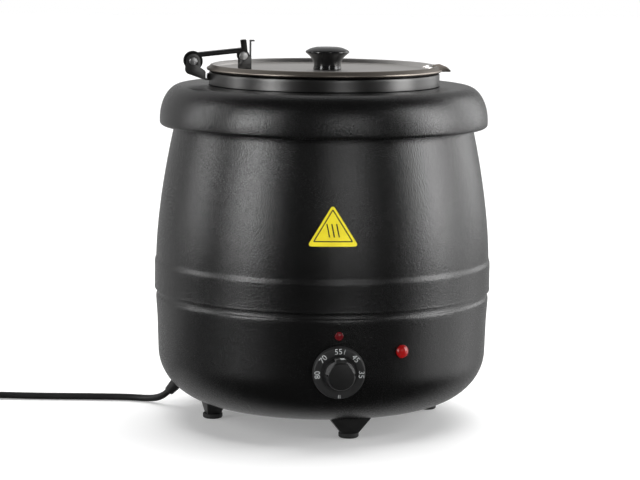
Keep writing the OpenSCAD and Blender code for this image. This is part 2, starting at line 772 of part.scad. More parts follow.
module lid_bracket() {
    x = pivot_2[0];
    z = pivot_2[1];
    web_x = x + 6.8;
    half = cheek_in + cheek_t;
    tab_h = 15.5;
    color("#b4b6ba") difference() {
        union() {
            for (y = [-half, cheek_in]) plate_xz(y, cheek_t) union() {
                translate([x, z]) circle(r = 4.6, $fn = big_fn);
                polygon([[x - 4.6, lid_z], [web_x + cheek_t, lid_z], [web_x + cheek_t, z], [x - 4.6, z]]);
            }
            translate([x - 4.6, -cheek_in, lid_z]) cube([web_x + cheek_t - x + 4.6, 2 * cheek_in, cheek_t]);
            translate([web_x, -cheek_in, lid_z]) cube([cheek_t, 2 * cheek_in, z - lid_z]);
            translate([web_x, -6, z]) cube([cheek_t, 12, tab_h]);
            translate([web_x, -6, z + tab_h - cheek_t]) cube([4.5, 12, cheek_t]);
        }
        translate([x, 20, z]) rotate([90, 0, 0]) cylinder(r = pin_r, h = through);
        for (s = [-1, 1]) translate([x - 1, s * lid_rivet_gap, 340])
            cylinder(r = rivet_r, h = 30, $fn = small_fn);
    }
}

module lid_rivets() {
    color("silver") for (s = [-1, 1]) translate([pivot_2[0] - 1, s * lid_rivet_gap, lid_z - steel_t]) {
        translate([0, 0, -0.8]) cylinder(r = rivet_head_r, h = 0.8, $fn = small_fn);
        cylinder(r = rivet_r, h = steel_t + cheek_t, $fn = small_fn);
        translate([0, 0, steel_t + cheek_t]) cylinder(r = rivet_head_r, h = 1, $fn = small_fn);
    }
}

module lid_pin() {
    cross_pin(pivot_2);
}

module lid_knob() {
    color("#0d0d0e") difference() {
        translate([knob_x, 0, lid_z]) rotate_extrude()
            polygon([[0, 0], [14, 0], [13.5, 2], [13.3, 5], [14, 8.5],
            [16.4, 12.5], [knob_r - 1, 16.5], [knob_r, 17.6], [knob_r - 0.8, 18.8], [knob_r - 6.5, 22.4],
            [knob_r - 9, 23], [0, 23]]);
        translate([knob_x, 0, lid_z - 1]) cylinder(r = knob_screw_r, h = 15, $fn = small_fn);
    }
}

module knob_screw() {
    color("silver") translate([knob_x, 0, lid_z - steel_t]) {
        translate([0, 0, -2.2]) cylinder(r = 4.8, h = 2.2, $fn = small_fn);
        cylinder(r = knob_screw_r, h = 14, $fn = small_fn);
    }
}

lower_shell();
upper_shell();
top_collar();
collar_posts();
collar_screws();
water_pan();
heating_element();
element_clamp();
clamp_nut();
base_plate();
base_screws();
foot(0);  // foot_1
foot(1);  // foot_2
foot(2);  // foot_3
foot(3);  // foot_4
foot_pad(0);  // foot_pad_1
foot_pad(1);  // foot_pad_2
foot_pad(2);  // foot_pad_3
foot_pad(3);  // foot_pad_4
foot_screws();
foot_nuts();
thermostat_body();
thermostat_screws();
thermostat_capillary();
thermal_cutout();
terminal_block();
earth_stud();
inner_wiring();
index_lamp();
pilot_lamp();
lamp_holder();
heat_label();
cord_gland();
gland_nut();
mains_cord();
cord_coil();
cord_tie();
cord_tail();
plug_body();
plug_pins();
dial_knob();
dial_grip();
dial_shaft();
food_pot();
hinge_bracket();
bracket_rivets();
base_pin();
link_arm();
lid();
lid_bracket();
lid_rivets();
lid_pin();
lid_knob();
knob_screw();
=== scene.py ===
import math
import bpy
from mathutils import Matrix, Vector


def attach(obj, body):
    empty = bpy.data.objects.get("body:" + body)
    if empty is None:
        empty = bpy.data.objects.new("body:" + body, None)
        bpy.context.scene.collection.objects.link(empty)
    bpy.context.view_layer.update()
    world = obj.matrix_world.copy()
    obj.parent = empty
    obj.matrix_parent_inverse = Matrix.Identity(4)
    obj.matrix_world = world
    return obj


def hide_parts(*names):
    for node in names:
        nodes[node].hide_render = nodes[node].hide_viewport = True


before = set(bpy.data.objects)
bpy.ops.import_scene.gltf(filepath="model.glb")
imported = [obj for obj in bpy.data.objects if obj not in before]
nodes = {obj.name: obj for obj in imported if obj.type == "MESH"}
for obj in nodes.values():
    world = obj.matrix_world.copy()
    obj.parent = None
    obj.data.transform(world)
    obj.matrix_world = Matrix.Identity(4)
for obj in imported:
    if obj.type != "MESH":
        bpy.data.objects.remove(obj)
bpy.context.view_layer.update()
print("frame loaded:", len(nodes), "nodes")


# camera

view = {"place": (-0.2248, -2.2669, 0.4975), "heading": -5.6, "pitch": 82.04, "roll": 0.6, "lens": 127.24}
bpy.ops.object.select_all(action="DESELECT")
bpy.ops.object.camera_add(location=view["place"])
camera = bpy.context.object
camera.data.lens = view["lens"]
camera.data.sensor_width = 36
turn = Matrix.Rotation(math.radians(view["heading"]), 4, "Z")
turn = turn @ Matrix.Rotation(math.radians(view["pitch"]), 4, "X")
turn = turn @ Matrix.Rotation(math.radians(view["roll"]), 4, "Z")
camera.rotation_euler = turn.to_euler()
bpy.context.scene.camera = camera


# mains lead, in the order exit, floor, coil, plug

lead = {"radius": 0.0035, "coilX": -0.400, "coilY": 0.044, "wide": 0.0455, "tight": 0.0385,
        "rest": 0.0045, "step": 0.007, "hold": 320, "shift": 40, "coilEnd": 1530, "every": 15}
leadRoute = [(-0.1455, 0.0417, 0.0253), (-0.148, 0.0425, 0.022), (-0.155, 0.045, 0.0145),
             (-0.161, 0.0495, 0.009), (-0.168, 0.0555, 0.0055), (-0.177, 0.062, 0.0038),
             (-0.188, 0.067, 0.0035), (-0.202, 0.0705, 0.0035), (-0.225, 0.0735, 0.0035),
             (-0.255, 0.0765, 0.0035), (-0.290, 0.080, 0.0035), (-0.325, 0.084, 0.0038),
             (-0.364, 0.088, 0.0042)]


def coilPoint(along):
    # the turns lie outside, inside, inside above, outside above, outside on top
    places = [(lead["wide"], 0), (lead["tight"], 0), (lead["tight"], 1), (lead["wide"], 1), (lead["wide"], 2)]
    turnNo = min(int(along // lead["hold"]), len(places) - 1)
    r, level = places[turnNo]
    into = (along - turnNo * lead["hold"] - (lead["hold"] - lead["shift"])) / lead["shift"]
    if into > 0 and turnNo < len(places) - 1:
        ease = into * into * (3 - 2 * into)
        r += (places[turnNo + 1][0] - r) * ease
        level += (places[turnNo + 1][1] - level) * ease
    angle = math.radians(90 + along)
    return (lead["coilX"] + r * math.cos(angle), lead["coilY"] + r * math.sin(angle),
            lead["rest"] + lead["step"] * level)


coilPoints = [coilPoint(a) for a in range(0, lead["coilEnd"] + 1, lead["every"])]
endX = lead["coilX"] - lead["wide"]
tailPoints = [(endX, 0.036, 0.0185), (endX, 0.027, 0.0185), (endX, 0.018, 0.0185), (endX, 0.006, 0.0185)]
leadPoints = leadRoute + coilPoints + tailPoints
leadCurve = bpy.data.curves.new("mainsLead", "CURVE")
leadCurve.dimensions = "3D"
leadCurve.bevel_depth = 1    # times each point's own radius
leadCurve.bevel_resolution = 3
leadCurve.resolution_u = 4
spline = leadCurve.splines.new("BEZIER")
spline.bezier_points.add(len(leadPoints) - 1)
for point, place in zip(spline.bezier_points, leadPoints):
    point.co = place
    point.radius = lead["radius"]
    point.handle_left_type = point.handle_right_type = "AUTO"
mainsLead = bpy.data.objects.new("mainsLead", leadCurve)
bpy.context.collection.objects.link(mainsLead)


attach(mainsLead, "kettle")
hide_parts("mains_cord", "cord_coil", "cord_tail")


# shader helpers

class Wire:
    def __init__(self, paint, socket):
        self.paint = paint
        self.socket = socket

    def join(self, operation, first, second):
        return self.paint.add("ShaderNodeMath", {"operation": operation}, {0: first, 1: second})

    def __add__(self, other):
        return self.join("ADD", self, other)

    def __radd__(self, other):
        return self.join("ADD", other, self)

    def __sub__(self, other):
        return self.join("SUBTRACT", self, other)

    def __rsub__(self, other):
        return self.join("SUBTRACT", other, self)

    def __mul__(self, other):
        return self.join("MULTIPLY", self, other)

    def __rmul__(self, other):
        return self.join("MULTIPLY", other, self)

    def __pow__(self, other):
        return self.join("POWER", self, other)

    def __gt__(self, other):
        return self.join("GREATER_THAN", self, other)


class Paint:
    # one material; constants go straight on its shader
    def __init__(self, name, **constants):
        self.material = bpy.data.materials.new(name)
        self.material.use_nodes = True
        self.tree = self.material.node_tree
        self.shader = self.tree.nodes["Principled BSDF"]
        for socket, value in constants.items():
            self.shader.inputs[socket.replace("_", " ")].default_value = value

    def add(self, kind, settings=None, sockets=None, out=0):
        node = self.tree.nodes.new(kind)
        for key, value in (settings or {}).items():
            if key == "stops":
                ramp = node.color_ramp
                while len(ramp.elements) < len(value):
                    ramp.elements.new(0.5)
                for element, (place, shade) in zip(ramp.elements, value):
                    element.position = place
                    element.color = shade if len(shade) == 4 else (*shade, 1)
            else:
                setattr(node, key, value)
        for key, value in (sockets or {}).items():
            if isinstance(value, Wire):
                self.tree.links.new(value.socket, node.inputs[key])
            else:
                node.inputs[key].default_value = value
        return Wire(self, node.outputs[out])

    def coords(self, scale=(1, 1, 1), move=(0, 0, 0), rotation=(0, 0, 0)):
        place = self.add("ShaderNodeTexCoord", out="Object")
        return self.add("ShaderNodeMapping", None,
                        {"Vector": place, "Scale": scale, "Location": move, "Rotation": rotation})

    def noise(self, vector, scale, detail=3, roughness=0.5):
        return self.add("ShaderNodeTexNoise", None,
                        {"Vector": vector, "Scale": scale, "Detail": detail, "Roughness": roughness})

    def cells(self, vector, scale, feature="F1"):
        return self.add("ShaderNodeTexVoronoi", {"feature": feature}, {"Vector": vector, "Scale": scale})

    def ramp(self, factor, stops):
        return self.add("ShaderNodeValToRGB", {"stops": stops}, {"Fac": factor})

    def blend(self, factor, first, second, mode="MIX"):
        settings = {"data_type": "RGBA", "blend_type": mode}
        node = self.add("ShaderNodeMix", settings, {"Factor": factor}, out=2).socket.node
        for number, value in ((6, first), (7, second)):
            if isinstance(value, Wire):
                self.tree.links.new(value.socket, node.inputs[number])
            else:
                node.inputs[number].default_value = value
        return Wire(self, node.outputs[2])

    def feed(self, **wires):
        for socket, wire in wires.items():
            self.tree.links.new(wire.socket, self.shader.inputs[socket.replace("_", " ")])
        return self

    def bump(self, *layers):
        # each layer is a height, how far it moves the surface in metres, and its strength
        normal = None
        for height, distance, strength in layers:
            sockets = {"Height": height, "Distance": distance, "Strength": strength}
            if normal:
                sockets["Normal"] = normal
            normal = self.add("ShaderNodeBump", None, sockets)
        self.feed(Normal=normal)
        return self


def grey(value, warm=0.0):
    return (value * (1 + warm), value, value * (1 - warm), 1)


def coatPaint(name, shade, gloss, peel):
    # sprayed and baked black coat: orange peel, pinhead speckle, a little dust
    paint = Paint(name, Base_Color=grey(shade), Specular_IOR_Level=0.8)
    place = paint.coords()
    fine = paint.noise(place, 1300, 5, 0.75)
    soft = paint.noise(place, 620, 5, 0.72)
    cloud = paint.noise(place, 14, 3)
    pebble = paint.cells(place, 640)
    speck = paint.cells(place, 420)
    dots = paint.ramp(speck, [(0.0, (1, 1, 1)), (0.2, (0, 0, 0))])
    paint.feed(Base_Color=paint.blend(dots * 0.3 + cloud * 0.2, grey(shade), grey(shade * 3)),
               Roughness=gloss + cloud * 0.06 + fine * 0.12 - dots * 0.14)
    paint.bump((pebble, 0.00022, peel), (soft, 0.0001, peel), (fine, 0.0001, peel), (dots, 0.0001, 0.6))
    return paint.material


def brushedPaint(name, shade, gloss, stretch, scale, depth=0.6, warm=0.01, spin=False, paintedShadeRim=None):
    # drawn or spun steel with fine grinding lines and faint stains
    paint = Paint(name, Base_Color=grey(shade, warm), Metallic=1.0)
    place = paint.add("ShaderNodeTexCoord", out="Object")
    if spin:
        parts = paint.add("ShaderNodeSeparateXYZ", None, {"Vector": place}).socket.node.outputs
        x, y, z = (Wire(paint, part) for part in parts)
        radius = (x * x + y * y) ** 0.5
        around = paint.add("ShaderNodeMath", {"operation": "ARCTAN2"}, {0: y, 1: x})
        place = paint.add("ShaderNodeCombineXYZ", None, {"X": radius, "Y": around * 0.004, "Z": z})
        lines = paint.noise(place, scale, 4, 0.6)
    else:
        drawn = paint.add("ShaderNodeMapping", None, {"Vector": place, "Scale": stretch})
        lines = paint.noise(drawn, scale, 4, 0.6)
    stain = paint.noise(paint.coords(), 22, 4, 0.6)
    tone = paint.blend(lines, grey(shade * 0.86, warm), grey(shade * 1.08, warm))
    if paintedShadeRim:
        # past this radius the sheet is painted darker: painted shade standing in for the dark reflection on
        # the rolled rim
        tone = paint.blend(radius > paintedShadeRim[0], tone, grey(paintedShadeRim[1], 0.12))
    paint.feed(Base_Color=tone, Roughness=gloss + lines * 0.16 + stain * 0.12 - 0.1)
    paint.bump((lines, 0.00006, depth), (stain, 0.0004, 0.05))
    return paint.material


def mouldedPaint(name, shade, gloss, grain, depth, tint=None, **constants):
    # moulded plastic or rubber: fine grain, faint flow marks
    base = tint or (shade, shade, shade * 1.02)
    paint = Paint(name, Base_Color=(*base, 1), **constants)
    place = paint.coords()
    fine = paint.noise(place, grain, 3, 0.6)
    flow = paint.noise(place, 60, 3)
    lighter = (*(min(1, part * 1.35 + 0.004) for part in base), 1)
    darker = (*(part * 0.8 for part in base), 1)
    paint.feed(Base_Color=paint.blend(flow, darker, lighter), Roughness=gloss + fine * 0.12 + flow * 0.06)
    paint.bump((fine, 0.0001, depth), (flow, 0.0003, 0.06))
    return paint.material


def platedPaint(name, shade, gloss, warm=0.0):
    # small plated screws, pins and rivets
    paint = Paint(name, Base_Color=grey(shade, warm), Metallic=1.0)
    place = paint.coords()
    grain = paint.noise(place, 900, 3, 0.6)
    patch = paint.noise(place, 180, 3)
    paint.feed(Base_Color=paint.blend(patch, grey(shade * 0.8, warm), grey(shade * 1.12, warm)),
               Roughness=gloss + grain * 0.14 + patch * 0.1)
    paint.bump((grain, 0.00005, 0.4))
    return paint.material


blackCoat = coatPaint("blackCoat", 0.0035, 0.17, 0.8)
# the lid's outermost rim gets a darker brownish grey: painted shade for its dark reflection
lidSteel = brushedPaint("lidSteel", 0.85, 0.34, None, 2600, 0.35, 0.03, spin=True, paintedShadeRim=(0.1128, 0.3))
bandSteel = brushedPaint("bandSteel", 0.12, 0.3, (1, 1, 34), 90, 0.5)
hingeSteel = brushedPaint("hingeSteel", 0.14, 0.34, (1, 14, 14), 120, 0.5)
# the link arm's steel is a near-black copy of the hinge steel: painted shade for the dark room it mirrors
armSteel = brushedPaint("armSteel", 0.03, 0.36, (1, 16, 16), 120, 0.5)
panSteel = brushedPaint("panSteel", 0.5, 0.36, (1, 1, 20), 60, 0.5)
zincPlate = platedPaint("zincPlate", 0.62, 0.22)
pinPlate = platedPaint("pinPlate", 0.66, 0.16, 0.03)
copperTube = platedPaint("copperTube", 0.5, 0.3, 0.28)
elementSkin = platedPaint("elementSkin", 0.22, 0.42, 0.08)
plateSteel = platedPaint("plateSteel", 0.4, 0.4)
knobGloss = mouldedPaint("knobGloss", 0.008, 0.1, 500, 0.1, Coat_Weight=0.4, Coat_Roughness=0.06)
dialSkin = mouldedPaint("dialSkin", 0.015, 0.42, 1400, 0.45)
gripSkin = mouldedPaint("gripSkin", 0.005, 0.36, 1400, 0.35)
footSkin = mouldedPaint("footSkin", 0.011, 0.4, 900, 0.35)
padRubber = mouldedPaint("padRubber", 0.016, 0.62, 1500, 0.5)
leadRubber = mouldedPaint("leadRubber", 0.009, 0.4, 1200, 0.3)
glandSkin = mouldedPaint("glandSkin", 0.012, 0.42, 1000, 0.35)
phenolic = mouldedPaint("phenolic", 0.5, 0.42, 700, 0.3, tint=(0.56, 0.51, 0.42))
blockGlaze = mouldedPaint("blockGlaze", 0.7, 0.22, 500, 0.2, tint=(0.74, 0.73, 0.69))
whitePrint = mouldedPaint("whitePrint", 0.5, 0.5, 1600, 0.3, tint=(0.5, 0.52, 0.52))
blackPrint = mouldedPaint("blackPrint", 0.012, 0.46, 1600, 0.3)
labelFilm = mouldedPaint("labelFilm", 0.5, 0.36, 900, 0.16, tint=(0.86, 0.66, 0.01))


def lensPaint(name, tint, ribs):
    # clear moulded lens with fine ribs behind its face
    paint = Paint(name, Base_Color=(*tint, 1), Roughness=0.12, IOR=1.49, Transmission_Weight=0.25,
                  Coat_Weight=0.5)
    place = paint.coords()
    ring = paint.add("ShaderNodeTexWave", {"wave_type": "BANDS", "bands_direction": "X"},
                     {"Vector": place, "Scale": ribs, "Distortion": 0.4, "Detail": 1})
    haze = paint.noise(place, 500, 2)
    dark = (*(part * 0.35 for part in tint), 1)
    paint.feed(Base_Color=paint.blend(ring * 0.6 + haze * 0.3, dark, (*tint, 1)),
               Roughness=0.08 + haze * 0.14)
    paint.bump((ring, 0.0002, 0.35))
    return paint.material


pilotLens = lensPaint("pilotLens", (0.62, 0.012, 0.012), 260)
indexLens = lensPaint("indexLens", (0.22, 0.008, 0.014), 300)


def sleevePaint():
    paint = Paint("sleeveBraid", Base_Color=(0.25, 0.08, 0.05, 1))
    place = paint.coords(rotation=(0.4, 0.3, 0.7))
    weave = paint.add("ShaderNodeTexWave", {"wave_type": "BANDS"},
                      {"Vector": place, "Scale": 420, "Distortion": 1.2})
    across = paint.add("ShaderNodeTexWave", {"wave_type": "BANDS", "bands_direction": "Y"},
                       {"Vector": place, "Scale": 420, "Distortion": 1.2})
    braid = weave * across
    paint.feed(Base_Color=paint.blend(braid, (0.12, 0.03, 0.02, 1), (0.4, 0.14, 0.08, 1)),
               Roughness=0.6 + braid * 0.2)
    paint.bump((braid, 0.0002, 0.6))
    return paint.material


sleeveBraid = sleevePaint()
print("materials mixed")


# mesh helpers

def startPiece():
    if bpy.context.object and bpy.context.object.mode != "OBJECT":
        bpy.ops.object.mode_set(mode="OBJECT")
    bpy.ops.object.select_all(action="DESELECT")


def takeHold(piece):
    startPiece()
    piece.select_set(True)
    bpy.context.view_layer.objects.active = piece


def arcRings(centreR, centreZ, across, up, fromAngle, toAngle, count):
    angles = [math.radians(fromAngle + (toAngle - fromAngle) * i / count) for i in range(count + 1)]
    return [(centreR + across * math.cos(a), centreZ + up * math.sin(a)) for a in angles]


def finishPiece(piece, name, material, body, replaced=(), smooth=32):
    takeHold(piece)
    bpy.ops.object.transform_apply(location=True, rotation=True, scale=True)
    bpy.ops.object.shade_smooth_by_angle(angle=math.radians(smooth))
    piece.name = name
    piece.data.name = name
    piece.data.materials.clear()
    piece.data.materials.append(material)
    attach(piece, body)
    if replaced:
        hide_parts(*replaced)
    return piece


def turned(rings, sides=144, close=(False, False)):
    # a ring of edges pulled up through the profile, radius and height in millimetres
    startPiece()
    r, z = rings[0]
    bpy.ops.mesh.primitive_circle_add(vertices=sides, radius=max(r, 0.01) / 1000, location=(0, 0, z / 1000))
    bpy.ops.object.mode_set(mode="EDIT")
    bpy.ops.mesh.select_all(action="SELECT")
    if close[0]:
        bpy.ops.mesh.edge_face_add()
    for (r0, z0), (r1, z1) in zip(rings, rings[1:]):
        bpy.ops.mesh.extrude_edges_move() if not close[0] else bpy.ops.mesh.extrude_region_move()
        bpy.ops.transform.translate(value=(0, 0, (z1 - z0) / 1000))
        grow = max(r1, 0.01) / max(r0, 0.01)
        bpy.ops.transform.resize(value=(grow, grow, 1), center_override=(0, 0, z1 / 1000))
    if close[1] and not close[0]:
        bpy.ops.mesh.edge_face_add()
    bpy.ops.mesh.select_all(action="SELECT")
    bpy.ops.mesh.remove_doubles(threshold=0.00001)
    bpy.ops.mesh.normals_make_consistent(inside=False)
    bpy.ops.object.mode_set(mode="OBJECT")
    return bpy.context.object


def wall(piece, thickness, offset=-1):
    takeHold(piece)
    modifier = piece.modifiers.new("wall", "SOLIDIFY")
    modifier.thickness = thickness
    modifier.offset = offset
    bpy.ops.object.modifier_apply(modifier=modifier.name)
    return piece


def roundEdges(piece, width, segments=2, angle=35):
    takeHold(piece)
    modifier = piece.modifiers.new("edges", "BEVEL")
    modifier.width = width
    modifier.segments = segments
    modifier.limit_method = "ANGLE"
    modifier.angle_limit = math.radians(angle)
    bpy.ops.object.modifier_apply(modifier=modifier.name)
    return piece


def box(place, size, taper=(1, 1), turn=(0, 0, 0), spin=0):
    # a block in metres; its upper face can be narrower, and it can lean
    startPiece()
    bpy.ops.mesh.primitive_cube_add(size=1, location=(0, 0, 0))
    block = bpy.context.object
    block.scale = size
    bpy.ops.object.transform_apply(location=False, rotation=False, scale=True)
    for corner in block.data.vertices:
        if corner.co.z > 0:
            corner.co.x *= taper[0]
            corner.co.y *= taper[1]
    lean = Matrix.Rotation(math.radians(spin), 4, "Z") @ Matrix.Rotation(math.radians(turn[1]), 4, "Y")
    lean = lean @ Matrix.Rotation(math.radians(turn[0]), 4, "X")
    block.matrix_world = Matrix.Translation(place) @ lean
    bpy.ops.object.transform_apply(location=True, rotation=True, scale=True)
    return block


def unite(piece, other, operation):
    takeHold(piece)
    modifier = piece.modifiers.new("join", "BOOLEAN")
    modifier.operation = operation
    modifier.object = other
    modifier.solver = "EXACT"
    bpy.ops.object.modifier_apply(modifier=modifier.name)
    bpy.data.objects.remove(other)
    return piece


def dressed(node, name, material, body, width=0.0003, segments=2, smooth=32):
    # a merged copy of a frame part with its edges eased
    startPiece()
    piece = bpy.data.objects.new(name, nodes[node].data.copy())
    bpy.context.collection.objects.link(piece)
    takeHold(piece)
    bpy.ops.object.mode_set(mode="EDIT")
    bpy.ops.mesh.select_all(action="SELECT")
    bpy.ops.mesh.remove_doubles(threshold=0.00002)
    bpy.ops.mesh.dissolve_limited(angle_limit=math.radians(1))
    bpy.ops.object.mode_set(mode="OBJECT")
    if width:
        roundEdges(piece, width, segments)
    return finishPiece(piece, name, material, body, (node,), smooth)


# body shells

shells = {"belt": 170, "step": 162, "stepOut": 1.3, "stepHalf": 3.2, "drop": 17.1, "power": 1.65, "span": 129,
          "sides": 192, "wall": 0.0012}


def shoulder(z):
    above = max(0, z - shells["step"]) / shells["span"]
    return shells["belt"] - shells["stepOut"] - shells["drop"] * above ** shells["power"]


upperRings = [(168.95, 133.2), (169.0, 132.4), (169.5, 131.9), (170.1, 132.1), (170.2, 132.9),
              (170.05, 133.8), (170, 135)]
upperRings += [(170, 147), (170, 156)]
# the belt's upper edge rolls in to the shoulder
upperRings += [(shells["belt"] - shells["stepOut"] * (1 - math.cos(math.pi * i / 10)) / 2,
                shells["step"] + shells["stepHalf"] * (i / 5 - 1)) for i in range(11)]
upperRings += [(shoulder(z), z) for z in (167, 170, 174, *range(180, 301, 10), 313, 326)]
upperRings += [(142.4, 326.8), (141.6, 327.2), (132, 327.2)]
upperBody = wall(turned(upperRings, shells["sides"]), shells["wall"])
finishPiece(upperBody, "upperBody", blackCoat, "kettle", ("upper_shell",))

# a rolled groove under the seam, then the lower shell's rounded edge
lowerRings = [(168.7, 141), (168.7, 132.5), (168.1, 131.6), (167.3, 131.2), (167.25, 130), (167.3, 127.4),
              (167.6, 126.5), (168.1, 125.9), (168.45, 125.2), (168.65, 124.2), (168.72, 122.8), (168.6, 120),
              (167.4, 102), (166.6, 76)]
lowerRings += arcRings(106.2, 70, 60.2, 52.5, 0, -90, 20) + [(97, 17.5)]
lowerBody = wall(turned(lowerRings, shells["sides"]), shells["wall"])
finishPiece(lowerBody, "lowerBody", blackCoat, "kettle", ("lower_shell",))

collarRings = [(114.8, 328.5), (114.7, 329.1), (114.7, 335.8), (114.9, 336.6), (115.6, 337), (119, 337),
               (131, 337)]
collarRings += arcRings(143.5, 302.5, 21.7, 34.5, 90, 0, 20) + arcRings(161.7, 300, 3.5, 3.5, 0, -90, 6)
collarRings += [(157, 296.5), (150.8, 296.5)]
topCollar = wall(turned(collarRings, shells["sides"]), shells["wall"])
finishPiece(topCollar, "topCollar", blackCoat, "kettle", ("top_collar",))
print("body shells turned")


# food pot and water pan

potRings = [(0.01, 97), (80, 97)] + arcRings(92, 117, 20, 20, -90, 0, 8)
potRings += [(112, 337.1), (112.2, 337.5), (115.7, 337.5), (116, 337.8), (116, 342), (116, 346.5)]
potRings += arcRings(113.3, 347.9, 2.7, 2.7, 0, 90, 6) + arcRings(113.3, 347.9, 1.9, 1.9, 90, 0, 5)
potRings += [(115.2, 338.7), (114.8, 338.3), (111.4, 338.3), (111.2, 337.5)]
potRings += arcRings(92, 117, 19.2, 19.2, 0, -90, 8) + [(80, 97.8), (0.01, 97.8)]
finishPiece(turned(potRings, 160), "foodPot", bandSteel, "pot", ("food_pot",))
print("food pot turned")


# lid with its turned-up rim, ladle notch and knob

dressed("lid", "lidSheet", lidSteel, "lid", 0.00018, 2, 30)

knobRings = [(0.01, 352), (13.6, 352), (14.1, 352.4), (14.2, 353.4), (13.9, 354.4), (13.6, 356.2),
             (13.8, 358.6), (14.6, 361.2), (16, 363.7), (18.2, 366.2), (20.4, 368), (21.5, 369), (22, 369.8),
             (21.9, 370.6), (21.1, 371.4), (18.8, 372.7), (15.6, 374), (12, 374.8), (7.5, 375), (0.01, 375)]
lidKnob = turned(knobRings, 96)
lidKnob.location.x = 0.003    # it stands a little off the lid's centre
finishPiece(lidKnob, "lidKnob", knobGloss, "lid", ("lid_knob",), 40)
print("lid and knob done")


# hinge

dressed("hinge_bracket", "potBracket", hingeSteel, "pot", 0.0003)
dressed("link_arm", "linkArm", armSteel, "arm", 0.0003)
dressed("lid_bracket", "lidBracket", hingeSteel, "lid", 0.0003)
for node, name, body in (("base_pin", "potPin", "pot"), ("lid_pin", "lidPin", "lid"),
                         ("bracket_rivets", "potRivets", "pot"), ("lid_rivets", "lidRivets", "lid")):
    dressed(node, name, zincPlate, body, 0.0005, 3)
print("hinge done")


# dial with its scale and grip

dial = {"z": 0.076, "back": -0.1695, "letters": 0.0076, "ringR": 0.0208}
scale = [("55", -3), ("45", 47), ("35", 93), ("80", -93), ("70", -48)]
marks = {"dialTick": (13, 0.0212, 0.0004, 0.0046), "offTickLeft": (178, 0.0222, 0.0004, 0.0034),
         "offTickRight": (182, 0.0222, 0.0004, 0.0034)}    # turn, distance out, width, length


def facingFront(piece):
    # laid out flat, then stood up to face the front of the dial
    takeHold(piece)
    upright = Matrix.Translation((0, dial["back"], dial["z"])) @ Matrix.Rotation(math.radians(90), 4, "X")
    piece.matrix_world = upright @ piece.matrix_world
    return piece


skirtRings = [(0.01, 0), (24.7, 0), (25.2, 0.3), (25.4, 0.9), (25.3, 2), (24.7, 5.4), (24.4, 6.3),
              (23.8, 6.8), (23, 7), (17.6, 7), (17.2, 6.7), (16.6, 6.6), (0.01, 6.6)]
finishPiece(facingFront(turned(skirtRings, 128)), "dialSkirt", dialSkin, "dial", ("dial_knob",), 30)

gripRings = [(0.01, 6.6), (15.6, 6.6), (15.5, 8), (14.6, 11), (13.9, 18), (13.7, 21.5), (13.2, 23.4),
             (12.2, 24.6), (10.6, 25), (0.01, 25)]
dialGrip = turned(gripRings, 96)
# the pointer bar, then the two scooped flanks that leave it standing
bar = box((0, 0.009, 0.0148), (0.0112, 0.0142, 0.0162), taper=(0.86, 1))
unite(dialGrip, bar, "UNION")
for side in (-1, 1):
    flank = box((side * 0.0142, 0.0125, 0.0215), (0.016, 0.02, 0.014), turn=(0, side * -62, 0),
                spin=side * 26)
    unite(dialGrip, flank, "DIFFERENCE")
roundEdges(dialGrip, 0.0006, 2, 30)
facingFront(dialGrip)
takeHold(dialGrip)
bpy.ops.object.transform_apply(location=True, rotation=True, scale=True)
finishPiece(dialGrip, "dialGrip", gripSkin, "dial", ("dial_grip",), 34)

for text, angle in scale:
    startPiece()
    bpy.ops.object.text_add(location=(0, 0, 0))
    numeral = bpy.context.object
    numeral.data.body = text
    numeral.data.size = dial["letters"]
    numeral.data.align_x = "CENTER"
    numeral.data.align_y = "CENTER"
    numeral.data.extrude = 0.00012
    numeral.data.resolution_u = 3
    bpy.ops.object.convert(target="MESH")
    numeral = bpy.context.object
    spin = Matrix.Rotation(math.radians(-angle), 4, "Z") @ Matrix.Translation((0, dial["ringR"], 0.00705))
    numeral.matrix_world = spin
    facingFront(numeral)
    finishPiece(numeral, "dialNumeral" + text, whitePrint, "dial")
for name, (angle, ringR, wide, tall) in marks.items():
    tick = box((0, 0, 0), (wide, tall, 0.00024))
    spin = Matrix.Rotation(math.radians(-angle), 4, "Z")
    tick.matrix_world = spin @ Matrix.Translation((0, ringR, 0.00712))
    facingFront(tick)
    finishPiece(tick, name, whitePrint, "dial")
pointer = box((0.0014, 0.0163, 0.0186), (0.0044, 0.0007, 0.0052), taper=(0.7, 1))
facingFront(pointer)
finishPiece(roundEdges(pointer, 0.00015, 1), "dialPointer", whitePrint, "dial")
print("dial done")


# heat label: a film wrapped on the shoulder, with a plain border and three strokes

label = {"x": -0.0064, "low": 0.196, "side": 0.0492, "tall": 0.0396, "corner": 0.0042, "proud": 0.0003,
         "ink": 0.00008, "strokeWide": 0.0012, "strokeTall": 0.0125, "strokeUp": 0.015, "strokeGap": 0.0046,
         "strokeLean": 0.2}


def wrapped(piece, proud):
    # bends a flat piece drawn in x and y round the shoulder, x along the belt and y up
    for corner in piece.data.vertices:
        z = label["low"] + corner.co.y
        r = shoulder(z * 1000) / 1000 + proud + corner.co.z
        around = (label["x"] + corner.co.x) / r
        corner.co = (r * math.sin(around), -r * math.cos(around), z)
    return piece


